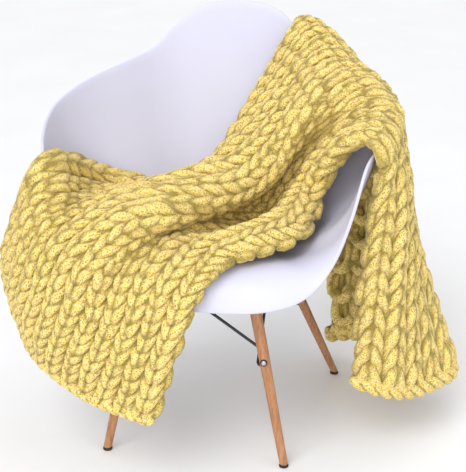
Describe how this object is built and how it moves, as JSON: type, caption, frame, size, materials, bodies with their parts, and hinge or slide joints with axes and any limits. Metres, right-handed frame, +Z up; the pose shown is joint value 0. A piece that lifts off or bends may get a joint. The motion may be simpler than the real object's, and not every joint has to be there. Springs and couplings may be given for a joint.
{
  "type": "chunky knit blanket over a shell chair",
  "caption": "Thick knitted blanket thrown across a plain moulded shell chair on wooden legs, falling over both sides in deep soft folds.",
  "frame": {"origin": "middle of the bounding box in plan, on the floor under the chair's feet", "axes": "+Z up, -Y towards the open front of the seat, +X towards the sitter's left, which is the viewer's right"},
  "size_m": [0.9194, 0.6738, 0.818],
  "materials": {
    "yellow_knit": "thick brushed chenille yarn, knitted",
    "moulded_plastic": "smooth satin",
    "beech": "turned, oiled",
    "rubber": "moulded",
    "bright_steel": "plated",
    "black_steel": "powder coated"
  },
  "bodies": {
    "root": {"blanket": "yellow_knit", "shell": "moulded_plastic", "leg_front_right": "beech", "glide_front_right": "rubber", "bolt_front_right": "bright_steel", "mount_front_right": "rubber", "leg_front_left": "beech", "glide_front_left": "rubber", "bolt_front_left": "bright_steel", "mount_front_left": "rubber", "leg_rear_right": "beech", "glide_rear_right": "rubber", "bolt_rear_right": "bright_steel", "mount_rear_right": "rubber", "leg_rear_left": "beech", "glide_rear_left": "rubber", "bolt_rear_left": "bright_steel", "mount_rear_left": "rubber", "strut_front_a": "black_steel", "strut_front_b": "black_steel", "strut_back_a": "black_steel", "strut_back_b": "black_steel", "strut_left_a": "black_steel", "strut_left_b": "black_steel", "strut_right_a": "black_steel", "strut_right_b": "black_steel"}
  },
  "joints": []
}
